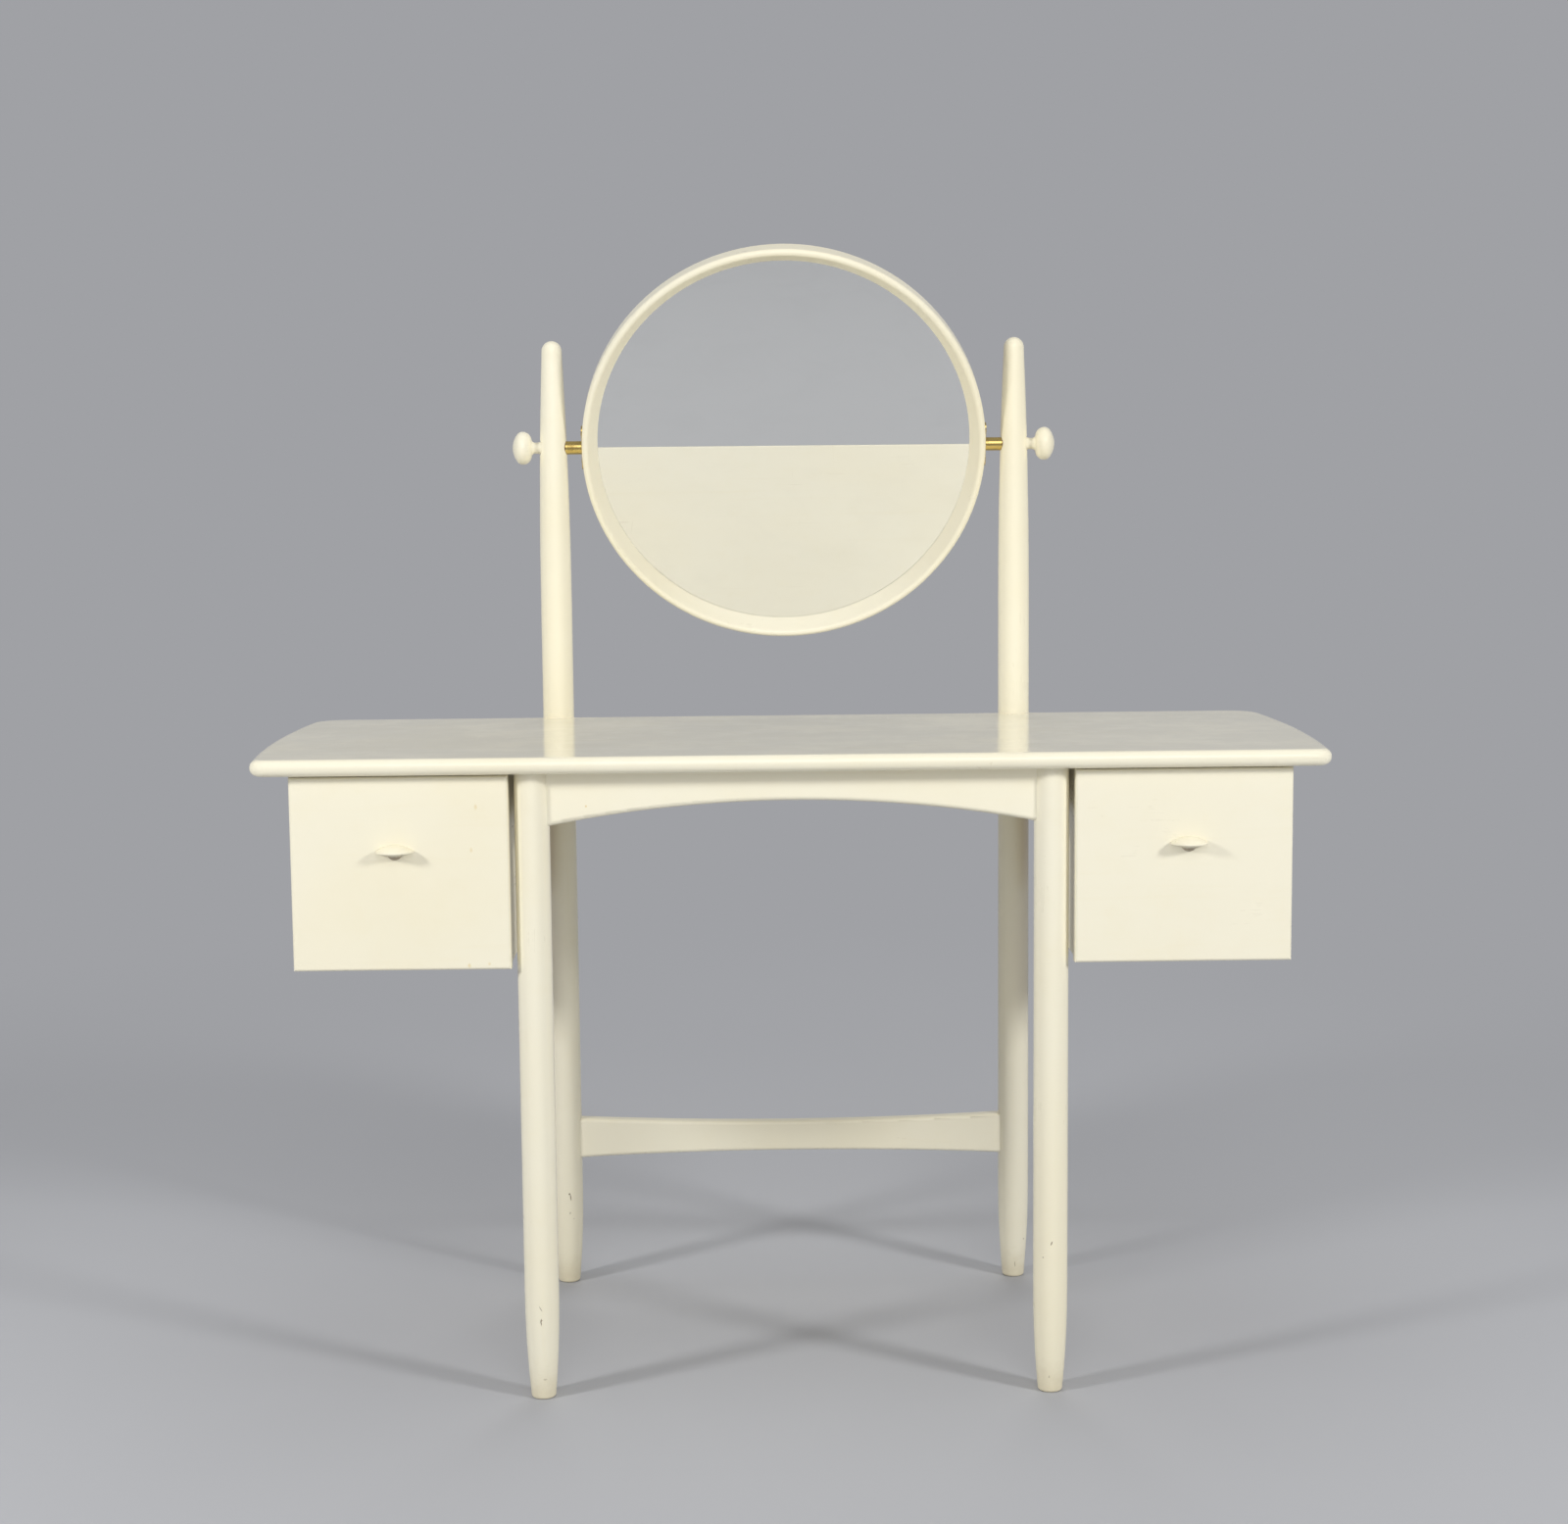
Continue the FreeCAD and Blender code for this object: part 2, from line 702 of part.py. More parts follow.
def friction_washer():
    seat = inner_seat_x()
    return ring_of(sleeve_diameter / 2, rod_diameter / 2 + rod_play, seat - washer_thickness, seat)


def knob_blank():
    base_r = knob_base_diameter / 2
    neck_r = knob_neck_diameter / 2
    head_r = knob_head_diameter / 2
    draw = base_r - neck_r
    cove = (draw ** 2 + knob_neck_position ** 2) / (2 * draw)
    cove_angle = math.asin(knob_neck_position / cove)
    swing = 2 * math.atan((head_r - neck_r) / (knob_rim_position - knob_neck_position))
    under_round = (knob_rim_position - knob_neck_position) / math.sin(swing) - knob_neck_round
    rim_centre = head_r - knob_rim_round
    inner_length = knob_length - knob_rim_round
    crown_centre = ((inner_length ** 2 - rim_centre ** 2 - knob_rim_position ** 2)
                    / (2 * (inner_length - knob_rim_position)))
    crown_angle = math.atan2(knob_rim_position - crown_centre, rim_centre)
    return turn([
        line(flat(0, 0), flat(base_r, 0)),
        bend(neck_r + cove, knob_neck_position, cove, math.pi + cove_angle, math.pi),
        bend(neck_r + knob_neck_round, knob_neck_position, knob_neck_round, math.pi, math.pi - swing),
        bend(head_r - under_round, knob_rim_position, under_round, -swing, 0),
        bend(rim_centre, knob_rim_position, knob_rim_round, 0, crown_angle),
        bend(0, crown_centre, knob_length - crown_centre, crown_angle, math.pi / 2),
        line(flat(0, knob_length), flat(0, 0)),
    ])


def knob_start():
    return outer_seat_x() + clamp_play


def mirror_knob():
    knob = aimed(knob_blank(), (1, 0, 0), knob_start(), post_y, pivot_height)
    socket = along_pivot(insert_diameter / 2 + glue_gap, knob_start(), knob_start() + insert_length)
    rod_room = along_pivot(rod_diameter / 2, knob_start(), knob_start() + insert_length + rod_end_room)
    return cut_all(knob, [socket, rod_room])


def knob_insert():
    start = knob_start()
    return ring_of(insert_diameter / 2, rod_diameter / 2 + rod_play, start, start + insert_length)


def write(name, solids):
    shape = solids if isinstance(solids, Part.Shape) else Part.makeCompound(solids)
    shape.exportStep("parts/" + name + ".step")


def write_pair(name, solids):
    group = solids if isinstance(solids, list) else [solids]
    right = group[0] if len(group) == 1 else Part.makeCompound(group)
    left = mirrored(group[0]) if len(group) == 1 else Part.makeCompound([mirrored(solid) for solid in group])
    write("right_" + name, right)
    write("left_" + name, left)


def write_frame():
    rail = side_rail()
    apron = front_apron()
    rear_board = rear_apron()
    stretcher = rear_stretcher()
    holes = dowels(glue_gap)
    all_holes = both_sides(holes)
    write("table_top", table_top())
    write_pair("front_leg", front_leg(apron, rail))
    write_pair("rear_post", rear_post(rear_board, rail, stretcher))
    write("front_apron", cut_all(apron, all_holes))
    write("rear_apron", cut_all(rear_board, all_holes))
    write_pair("side_rail", cut_all(rail, holes))
    write("rear_stretcher", cut_all(stretcher, all_holes))
    write("corner_blocks", corner_blocks())
    write("frame_dowels", both_sides(dowels()))
    write("top_screws", both_sides(top_screws()))


def write_cases():
    inner, outer = case_sides()
    write_pair("case_inner_side", inner)
    write_pair("case_outer_side", outer)
    write_pair("case_top", cut_all(case_top_panel(), top_screws(glue_gap)))
    write_pair("case_bottom", case_bottom_panel())
    write_pair("case_back", case_back_panel())
    write_pair("drawer_runners", runners())
    write("runner_screws", both_sides(runner_screws()))


def write_drawers():
    inner, outer = grooved_sides()
    write_pair("drawer_front", drawer_front())
    write_pair("drawer_inner_side", inner)
    write_pair("drawer_outer_side", outer)
    write_pair("drawer_back", drawer_back())
    write_pair("drawer_bottom", drawer_bottom())
    write_pair("drawer_pull", drawer_pull())
    write_pair("pull_screws", pull_screws())


def write_mirror():
    write("mirror_ring", leaning(mirror_ring()))
    write("mirror_glass", leaning(mirror_disc(glass_thickness, 0.0)))
    write("mirror_backboard", leaning(mirror_disc(backboard_thickness, glass_thickness)))
    write("backboard_pins", [leaning(pin) for pin in backboard_pins()])
    write("plate_screws", [leaning(solid) for solid in both_sides(plate_screws())])
    write_pair("pivot_plate", leaning(pivot_plate()))
    write_pair("pivot_rod", leaning(pivot_rod()))
    write_pair("spacer_sleeve", leaning(spacer_sleeve()))
    write("friction_washers", both_sides([friction_washer()]))
    write_pair("mirror_knob", leaning(mirror_knob()))
    write_pair("knob_insert", leaning(knob_insert()))


os.makedirs("parts", exist_ok=True)
write_frame()
write_cases()
write_drawers()
write_mirror()
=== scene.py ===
import math

import bmesh
import bpy
from mathutils import Matrix, Vector


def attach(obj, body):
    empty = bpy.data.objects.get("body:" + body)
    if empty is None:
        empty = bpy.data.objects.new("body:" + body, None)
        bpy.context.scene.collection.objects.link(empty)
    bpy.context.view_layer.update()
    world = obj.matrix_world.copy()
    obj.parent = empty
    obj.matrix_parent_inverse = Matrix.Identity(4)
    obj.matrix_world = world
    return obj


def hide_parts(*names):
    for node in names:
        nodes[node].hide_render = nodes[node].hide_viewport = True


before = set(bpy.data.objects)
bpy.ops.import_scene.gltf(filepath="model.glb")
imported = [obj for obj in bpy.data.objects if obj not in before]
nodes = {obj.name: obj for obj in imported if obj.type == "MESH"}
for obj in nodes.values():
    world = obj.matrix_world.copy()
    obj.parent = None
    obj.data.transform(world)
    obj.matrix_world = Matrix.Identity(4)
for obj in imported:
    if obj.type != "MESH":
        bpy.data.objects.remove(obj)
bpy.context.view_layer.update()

print("frame loaded:", len(nodes), "nodes")


# camera, solved from the photograph
cameraSettings = {
    "place": (-0.0393, -2.9538, 1.0132),
    "yaw": 0.658, "pitch": 6.658, "roll": -0.548,   # degrees; pitch looks down
    "focal": 2633.6, "imageWidth": 1600.0,          # pixels
    "sensor": 36.0,                                 # millimetres
}


def makeCamera(s):
    yaw, pitch, roll = (math.radians(s[k]) for k in ("yaw", "pitch", "roll"))
    ahead = Vector((math.sin(yaw) * math.cos(pitch), math.cos(yaw) * math.cos(pitch), -math.sin(pitch)))
    level = Vector((math.cos(yaw), -math.sin(yaw), 0.0))
    over = level.cross(ahead)
    right = level * math.cos(roll) + over * math.sin(roll)
    up = over * math.cos(roll) - level * math.sin(roll)
    data = bpy.data.cameras.new("photoCamera")
    data.sensor_width = s["sensor"]
    data.lens = s["sensor"] * s["focal"] / s["imageWidth"]
    camera = bpy.data.objects.new("photoCamera", data)
    place = Matrix((right, up, -ahead)).transposed().to_4x4()
    place.translation = Vector(s["place"])
    camera.matrix_world = place
    bpy.context.scene.collection.objects.link(camera)
    bpy.context.scene.camera = camera


makeCamera(cameraSettings)
bpy.context.scene.view_settings.view_transform = "Standard"
print("camera set")


# node maths: a wire is a socket that takes part in sums
class Wire:
    def __init__(self, net, socket):
        self.net = net
        self.socket = socket

    def combine(self, operation, first, second):
        return self.net.node("ShaderNodeMath", {"operation": operation}, {0: first, 1: second})

    def __add__(self, other):
        return self.combine("ADD", self, other)

    def __radd__(self, other):
        return self.combine("ADD", other, self)

    def __sub__(self, other):
        return self.combine("SUBTRACT", self, other)

    def __rsub__(self, other):
        return self.combine("SUBTRACT", other, self)

    def __mul__(self, other):
        return self.combine("MULTIPLY", self, other)

    def __rmul__(self, other):
        return self.combine("MULTIPLY", other, self)

    def __truediv__(self, other):
        return self.combine("DIVIDE", self, other)

    def __rtruediv__(self, other):
        return self.combine("DIVIDE", other, self)

    def __pow__(self, other):
        return self.combine("POWER", self, other)

    def __rpow__(self, other):
        return self.combine("POWER", other, self)

    def larger(self, other):
        return self.combine("MAXIMUM", self, other)

    def repeat(self, length):
        return self.combine("PINGPONG", self, length)

    def beside(self, name):
        return Wire(self.net, self.socket.node.outputs[name])   # another output of the same node


class Net:
    def __init__(self, tree):
        self.tree = tree

    def join(self, value, target):
        if isinstance(value, list):
            for each in value:
                self.join(each, target)
        elif isinstance(value, Wire):
            self.tree.links.new(value.socket, target)
        else:
            target.default_value = value

    def node(self, kind, settings, links, out=0):
        made = self.tree.nodes.new(kind)
        for key, value in settings.items():
            setattr(made, key, value)
        for key, value in links.items():
            self.join(value, made.inputs[key])
        return Wire(self, made.outputs[out]) if made.outputs else None


# a finish takes its numbers from settings in one order each:
# noise: scale, detail, roughness; ease: two limits, then the values at them
# stretch: scale along, scale across; bump: strength, distance
class Finish(Net):
    def __init__(self, name):
        self.material = bpy.data.materials.new(name)
        self.material.use_nodes = True
        super().__init__(self.material.node_tree)
        self.shader = self.tree.nodes["Principled BSDF"]
        self.place = self.node("ShaderNodeTexCoord", {}, {}, "Object")

    def set(self, **values):
        for key, value in values.items():
            self.join(value, self.shader.inputs[key.replace("_", " ")])

    def stretched(self, along, lengthwise, across, turn=0.0):
        scale = tuple(lengthwise if axis == along else across for axis in "xyz")
        links = {"Vector": self.place, "Scale": scale, "Rotation": (0.0, 0.0, turn)}
        return self.node("ShaderNodeMapping", {}, links)

    def noise(self, scale, detail, rough, place=None, warp=0.0):
        links = {"Vector": place or self.place, "Scale": scale, "Detail": detail, "Roughness": rough,
                 "Distortion": warp}
        return self.node("ShaderNodeTexNoise", {}, links, "Fac")

    def cells(self, place, scale=1.0):
        return self.node("ShaderNodeTexVoronoi", {}, {"Vector": place, "Scale": scale}, "Distance")

    def axes(self):
        x = self.node("ShaderNodeSeparateXYZ", {}, {0: self.place}, "X")
        return x, x.beside("Y"), x.beside("Z")

    def ease(self, value, low, high, start=0.0, end=1.0):
        return self.node("ShaderNodeMapRange", {"interpolation_type": "SMOOTHSTEP"},
                         {0: value, 1: low, 2: high, 3: start, 4: end})

    def blend(self, factor, first, second):
        # inputs 6 and 7 and output 2 are the node's colour sockets
        return self.node("ShaderNodeMix", {"data_type": "RGBA"}, {0: factor, 6: first, 7: second}, 2)

    def bump(self, height, strength, distance, under=None):
        links = {"Height": height, "Strength": strength, "Distance": distance}
        if under is not None:
            links["Normal"] = under
        return self.node("ShaderNodeBump", {}, links)


def tone(red, green, blue):
    # colours are written as seen on a screen, 0 to 255
    def linear(v):
        v = v / 255.0
        return v / 12.92 if v <= 0.04045 else ((v + 0.055) / 1.055) ** 2.4
    return (linear(red), linear(green), linear(blue), 1.0)


def largest(wires):
    most = wires[0]
    for wire in wires[1:]:
        most = wire.larger(most)
    return most


def dress(node, material):
    nodes[node].data.materials.clear()
    nodes[node].data.materials.append(material)


# ivory lacquer, brushed over close-grained wood
lacquerSettings = {
    "ivory": tone(242, 234, 206), "warm": tone(237, 226, 188), "cool": tone(243, 237, 214),
    "broad": (2.3, 3.0, 0.55), "broadEase": (0.35, 0.68),
    "mottle": (34.0, 4.0, 0.6), "mottleEase": (0.45, 0.85, 0.0, 0.14),
    "stroke": (1.0, 5.0, 0.62), "strokeStretch": (4.0, 70.0), "strokeWarp": 0.4,
    "strokeEase": (0.55, 0.8, 0.0, 0.18), "strokeBump": (0.05, 0.0010),
    "hair": (1.0, 3.0, 0.7), "hairStretch": (9.0, 420.0), "hairShare": 0.35, "hairBump": (0.04, 0.0002),
    "sheen": (12.0, 4.0, 0.6), "sheenEase": (0.45, 0.95),
    "satin": (0.27, 0.40), "gloss": (0.10, 0.19),     # lowest and highest roughness
    "orangePeel": (420.0, 2.0, 0.5), "orangePeelBump": (0.05, 0.0005),
    "markBump": 0.6,
    "coat": 0.3, "coatRoughness": 0.09, "refraction": 1.5,
}


def lacquerFinish(name, along, sheen="satin", marks=()):
    s = lacquerSettings
    f = Finish(name)
    place = f.axes()
    stroke = f.noise(*s["stroke"], f.stretched(along, *s["strokeStretch"]), s["strokeWarp"])
    hair = f.noise(*s["hair"], f.stretched(along, *s["hairStretch"]))
    colour = f.blend(f.ease(f.noise(*s["broad"]), *s["broadEase"]), s["cool"], s["ivory"])
    colour = f.blend(f.ease(f.noise(*s["mottle"]), *s["mottleEase"]), colour, s["warm"])
    colour = f.blend(f.ease(stroke, *s["strokeEase"]), colour, s["warm"])
    rough = f.ease(f.noise(*s["sheen"]) + hair * s["hairShare"], *s["sheenEase"], *s[sheen])
    surface = f.bump(f.noise(*s["orangePeel"]), *s["orangePeelBump"])
    surface = f.bump(stroke, *s["strokeBump"], surface)
    surface = f.bump(hair, *s["hairBump"], surface)
    for mark in marks:
        mask, tint, dull, depth = mark(f, *place)
        colour = f.blend(mask, colour, tint)
        rough = rough + mask * dull
        if depth:
            surface = f.bump(1.0 - mask, s["markBump"], depth, surface)
    f.set(Base_Color=colour, Roughness=rough, Normal=surface)
    f.set(Coat_Weight=s["coat"], Coat_Roughness=s["coatRoughness"], IOR=s["refraction"])
    return f.material


# knocks and scratches on the fronts of the legs
nickSettings = {
    "tint": tone(112, 92, 70), "dull": 0.3, "depth": 0.0004,
    "ragged": (900.0, 3.0, 0.7), "raggedShare": 1.1,
    "wander": (300.0, 2.0, 0.5), "wanderWidth": 0.0016,
    "edge": (0.7, 1.35), "fade": 0.004,      # depth over which marks fade out round the side of a leg
    # for each leg the y where they start to fade, and its marks:
    # x, z, half width, half height, slant, strength
    "places": {
        "left_front_leg": (-0.2425, [
            (-0.2772, 0.1037, 0.0007, 0.0040, -0.55, 0.6), (-0.2769, 0.0887, 0.0008, 0.0054, 0.0, 0.9),
            (-0.2766, 0.0908, 0.0016, 0.0007, 0.0, 0.8), (-0.2743, 0.0233, 0.0034, 0.0012, 0.0, 0.45)]),
        "right_front_leg": (-0.2425, [
            (0.2762, 0.1696, 0.0009, 0.0030, 0.35, 0.95), (0.2672, 0.1533, 0.0010, 0.0010, 0.0, 0.6),
            (0.2745, 0.0189, 0.0010, 0.0020, 0.0, 0.6)]),
        "left_rear_post": (0.1625, [
            (-0.2737, 0.1148, 0.0014, 0.0015, 0.0, 0.95), (-0.2724, 0.1104, 0.0008, 0.0056, -0.1, 0.85),
            (-0.2737, 0.0906, 0.0013, 0.0024, 0.2, 0.35), (-0.2690, 0.0830, 0.0010, 0.0012, 0.0, 0.3)]),
        "right_rear_post": (0.1625, [
            (0.2892, 0.0487, 0.0016, 0.0013, 0.0, 0.9), (0.2780, 0.0170, 0.0007, 0.0050, 0.0, 0.6)]),
    },
}


def nicks(node):
    s = nickSettings
    fadeFrom, places = s["places"][node]

    def mark(f, x, y, z):
        ragged = f.noise(*s["ragged"]) * s["raggedShare"]
        wander = (f.noise(*s["wander"]) - 0.5) * s["wanderWidth"]
        spots = []
        for atX, atZ, wide, high, slant, strength in places:
            drop = z - atZ
            away = ((x + wander - atX - drop * slant) / wide) ** 2.0 + (drop / high) ** 2.0 + ragged
            spots.append(f.ease(away, *s["edge"], strength, 0.0))
        mask = largest(spots) * f.ease(y, fadeFrom, fadeFrom + s["fade"], 1.0, 0.0)
        return mask, s["tint"], s["dull"], s["depth"]
    return mark


# small knocks all round the lower end of a leg
speckSettings = {
    "tint": nickSettings["tint"], "dull": 0.3, "depth": 0.0003, "strength": 0.8,
    "scale": 95.0, "stretch": (0.55, 1.0), "edge": (0.13, 0.20),
    "ragged": (700.0, 2.0, 0.6), "raggedShare": 0.12,
    "sparse": (23.0, 2.0, 0.5), "sparseEase": (0.66, 0.71),
    "heights": (0.09, 0.30),     # all of them up to the first, none above the second
}


def specks(f, x, y, z):
    s = speckSettings
    dots = f.cells(f.stretched("z", *s["stretch"]), s["scale"]) + f.noise(*s["ragged"]) * s["raggedShare"]
    sparse = f.ease(f.noise(*s["sparse"]), *s["sparseEase"])
    mask = f.ease(dots, *s["edge"], s["strength"], 0.0) * sparse * f.ease(z, *s["heights"], 1.0, 0.0)
    return mask, s["tint"], s["dull"], s["depth"]


# floor dirt worked into the lowest centimetres
soilSettings = {
    "tint": tone(196, 180, 142), "dull": 0.1, "strength": 0.4,
    "cloud": (90.0, 4.0, 0.65), "cloudHeight": 0.03, "heights": (0.012, 0.06),
}


def soil(f, x, y, z):
    s = soilSettings
    height = z + f.noise(*s["cloud"]) * s["cloudHeight"]
    return f.ease(height, *s["heights"], s["strength"], 0.0), s["tint"], s["dull"], 0.0


# small drops that yellowed on a flat front
stainSettings = {
    "tint": tone(222, 198, 132), "dull": 0.05,
    "ragged": (260.0, 3.0, 0.65), "edge": (0.8, 1.7), "fade": 0.003,
    # for each front the y where they start to fade, and its drops:
    # x, z, half width, half height, strength
    "places": {
        "left_drawer_front": (-0.2435, [
            (-0.3346, 0.6528, 0.0019, 0.0036, 0.45), (-0.3403, 0.6068, 0.0016, 0.0030, 0.4),
            (-0.3450, 0.4825, 0.0022, 0.0028, 0.5), (-0.3235, 0.4844, 0.0018, 0.0019, 0.35)]),
        "front_apron": (-0.2305, [(-0.2187, 0.6508, 0.0014, 0.0014, 0.8)]),
    },
}


def stains(node):
    s = stainSettings
    fadeFrom, places = s["places"][node]

    def mark(f, x, y, z):
        ragged = f.noise(*s["ragged"])
        spots = []
        for atX, atZ, wide, high, strength in places:
            away = (((x - atX) / wide) ** 2.0 + ((z - atZ) / high) ** 2.0) ** 0.5 + ragged
            spots.append(f.ease(away, *s["edge"], strength, 0.0))
        mask = largest(spots) * f.ease(y, fadeFrom, fadeFrom + s["fade"], 1.0, 0.0)
        return mask, s["tint"], s["dull"], 0.0
    return mark


# painted shade: the stem under the lip of a pull is darkened where the lip shades it
stemShadeSettings = {
    "tint": tone(122, 102, 80), "dull": 0.15, "strength": 0.8,
    "cloud": (420.0, 3.0, 0.6), "cloudHeight": 0.0016,
    "rise": (0.0040, 0.0068),     # above the lowest point of a pull; both hang at one height
}
pullFoot = min(corner.co.z for corner in nodes["left_drawer_pull"].data.vertices)


# painted shade on the lowest millimetres of a pull's stem, under its lip
def stemShade(f, x, y, z):
    s = stemShadeSettings
    low, high = (pullFoot + rise for rise in s["rise"])
    height = z + f.noise(*s["cloud"]) * s["cloudHeight"]
    return f.ease(height, low, high, s["strength"], 0.0), s["tint"], s["dull"], 0.0


# dull rubbed lines on the top, where things are pushed over it
scuffSettings = {
    "tint": soilSettings["tint"], "dull": 0.5, "strength": 0.25,
    "line": (1.0, 2.0, 0.5), "lineWarp": 0.6,
    "first": ("x", 8.0, 160.0, 0.35), "firstEase": (0.66, 0.72),       # axis, stretch and turn
    "second": ("y", 6.4, 160.0, -0.5), "secondEase": (0.68, 0.74),
    "where": (5.0, 3.0, 0.6), "whereEase": (0.52, 0.67),
}


def scuffs(f, x, y, z):
    s = scuffSettings
    first = f.noise(*s["line"], f.stretched(*s["first"]), s["lineWarp"])
    second = f.noise(*s["line"], f.stretched(*s["second"]), s["lineWarp"])
    where = f.ease(f.noise(*s["where"]), *s["whereEase"])
    lines = f.ease(first, *s["firstEase"]).larger(f.ease(second, *s["secondEase"])) * where
    return lines * s["strength"], s["tint"], s["dull"], 0.0


for node in nickSettings["places"]:
    dress(node, lacquerFinish(node + "_lacquer", "z", marks=[nicks(node), specks, soil]))
dress("table_top", lacquerFinish("topLacquer", "x", "gloss", [scuffs]))
dress("left_drawer_front", lacquerFinish("leftFrontLacquer", "x", marks=[stains("left_drawer_front")]))
dress("front_apron", lacquerFinish("apronLacquer", "x", marks=[stains("front_apron")]))
lacquers = {axis: lacquerFinish("ivoryLacquer_" + axis, axis) for axis in "xy"}
for node in ("rear_apron", "rear_stretcher", "mirror_ring", "right_drawer_front", "left_mirror_knob",
             "right_mirror_knob"):
    dress(node, lacquers["x"])
# the pulls carry painted shade on their stems, under the lip
pullLacquer = lacquerFinish("pullLacquer", "x", marks=[stemShade])
for side in ("left_", "right_"):
    dress(side + "drawer_pull", pullLacquer)
    for part in ("side_rail", "case_outer_side", "case_inner_side"):
        dress(side + part, lacquers["y"])
print("lacquer done")


# bare beech inside the drawers and under the top
beechSettings = {
    "light": tone(214, 178, 132), "dark": tone(178, 134, 88), "fleck": tone(128, 86, 52),
    "grain": (1.0, 6.0, 0.6), "grainStretch": (2.2, 42.0), "grainWarp": 0.8,
    "grainEase": (0.3, 0.72), "grainBump": (0.12, 0.001),
    "fleckStretch": (70.0, 620.0), "fleckEase": (0.10, 0.28, 0.5, 0.0),
    "cloud": (3.0, 3.0, 0.5), "cloudEase": (0.4, 0.8, 0.0, 0.25),
    "roughEase": (0.2, 0.8, 0.52, 0.68),
}


def beechFinish(name, along):
    s = beechSettings
    f = Finish(name)
    grain = f.noise(*s["grain"], f.stretched(along, *s["grainStretch"]), s["grainWarp"])
    flecks = f.cells(f.stretched(along, *s["fleckStretch"]))
    colour = f.blend(f.ease(grain, *s["grainEase"]), s["light"], s["dark"])
    colour = f.blend(f.ease(flecks, *s["fleckEase"]), colour, s["fleck"])
    colour = f.blend(f.ease(f.noise(*s["cloud"]), *s["cloudEase"]), colour, s["dark"])
    f.set(Base_Color=colour, Roughness=f.ease(grain, *s["roughEase"]),
          Normal=f.bump(grain, *s["grainBump"]))
    return f.material


# plywood of the case tops and bottoms and of the drawer bottoms, with its layers along the edges
plySettings = {
    "face": tone(222, 192, 146), "dark": tone(196, 158, 108), "edge": tone(150, 108, 66),
    "figure": (1.0, 5.0, 0.55), "figureStretch": (1.6, 24.0), "figureWarp": 1.6,
    "figureEase": (0.35, 0.7), "figureBump": (0.08, 0.0008),
    "layer": 0.0013, "layerEase": (0.35, 0.65), "layerShare": 0.55,
    "wave": (30.0, 2.0, 0.5), "waveHeight": 0.0003,
    "roughEase": (0.2, 0.8, 0.5, 0.64),
}


def plyFinish(name, along):
    s = plySettings
    f = Finish(name)
    height = f.axes()[2] + f.noise(*s["wave"]) * s["waveHeight"]
    figure = f.noise(*s["figure"], f.stretched(along, *s["figureStretch"]), s["figureWarp"])
    colour = f.blend(f.ease(figure, *s["figureEase"]), s["face"], s["dark"])
    layers = f.ease(height.repeat(s["layer"]) / s["layer"], *s["layerEase"])
    colour = f.blend(layers * s["layerShare"], colour, s["edge"])
    f.set(Base_Color=colour, Roughness=f.ease(figure, *s["roughEase"]),
          Normal=f.bump(figure, *s["figureBump"]))
    return f.material


# hardboard of the case backs and behind the mirror
boardSettings = {
    "base": tone(142, 102, 66), "dark": tone(104, 72, 46), "pale": tone(166, 126, 86),
    "fibre": (320.0, 5.0, 0.7), "fibreWarp": 1.2, "fibreEase": (0.35, 0.65), "fibreBump": (0.25, 0.0006),
    "cloud": (7.0, 4.0, 0.6), "cloudEase": (0.45, 0.75, 0.0, 0.5),
    "roughEase": (0.3, 0.7, 0.7, 0.85),
}


def boardFinish(name):
    s = boardSettings
    f = Finish(name)
    fibre = f.noise(*s["fibre"], warp=s["fibreWarp"])
    colour = f.blend(f.ease(fibre, *s["fibreEase"]), s["dark"], s["base"])
    colour = f.blend(f.ease(f.noise(*s["cloud"]), *s["cloudEase"]), colour, s["pale"])
    f.set(Base_Color=colour, Roughness=f.ease(fibre, *s["roughEase"]),
          Normal=f.bump(fibre, *s["fibreBump"]))
    return f.material


# turned brass of the mirror pivots
brassSettings = {
    "bright": tone(226, 198, 122), "aged": tone(158, 128, 66),
    "age": (70.0, 4.0, 0.6), "ageEase": (0.45, 0.75, 0.0, 0.7), "roughEase": (0.35, 0.75, 0.18, 0.34),
    "lathe": (1.0, 3.0, 0.6), "latheStretch": (1500.0, 40.0), "latheBump": (0.05, 0.0003),
}


def brassFinish(name):
    s = brassSettings
    f = Finish(name)
    age = f.noise(*s["age"])
    lines = f.noise(*s["lathe"], f.stretched("x", *s["latheStretch"]))
    colour = f.blend(f.ease(age, *s["ageEase"]), s["bright"], s["aged"])
    f.set(Base_Color=colour, Metallic=1.0, Roughness=f.ease(age, *s["roughEase"]),
          Normal=f.bump(lines, *s["latheBump"]))
    return f.material


# steel of rods, screws and pins
steelSettings = {
    "bright": tone(176, 174, 168), "aged": tone(110, 92, 74),
    "age": (240.0, 5.0, 0.65), "ageEase": (0.5, 0.8, 0.0, 0.6), "roughEase": (0.35, 0.75, 0.28, 0.5),
}


def steelFinish(name):
    s = steelSettings
    f = Finish(name)
    age = f.noise(*s["age"])
    colour = f.blend(f.ease(age, *s["ageEase"]), s["bright"], s["aged"])
    f.set(Base_Color=colour, Metallic=1.0, Roughness=f.ease(age, *s["roughEase"]))
    return f.material


# fibre of the friction washers
fibreSettings = {
    "dark": tone(92, 52, 34), "light": tone(132, 80, 54), "roughness": 0.75,
    "thread": (500.0, 4.0, 0.7), "threadEase": (0.35, 0.65), "threadBump": (0.3, 0.0004),
}


def fibreFinish(name):
    s = fibreSettings
    f = Finish(name)
    thread = f.noise(*s["thread"])
    colour = f.blend(f.ease(thread, *s["threadEase"]), s["dark"], s["light"])
    f.set(Base_Color=colour, Roughness=s["roughness"], Normal=f.bump(thread, *s["threadBump"]))
    return f.material


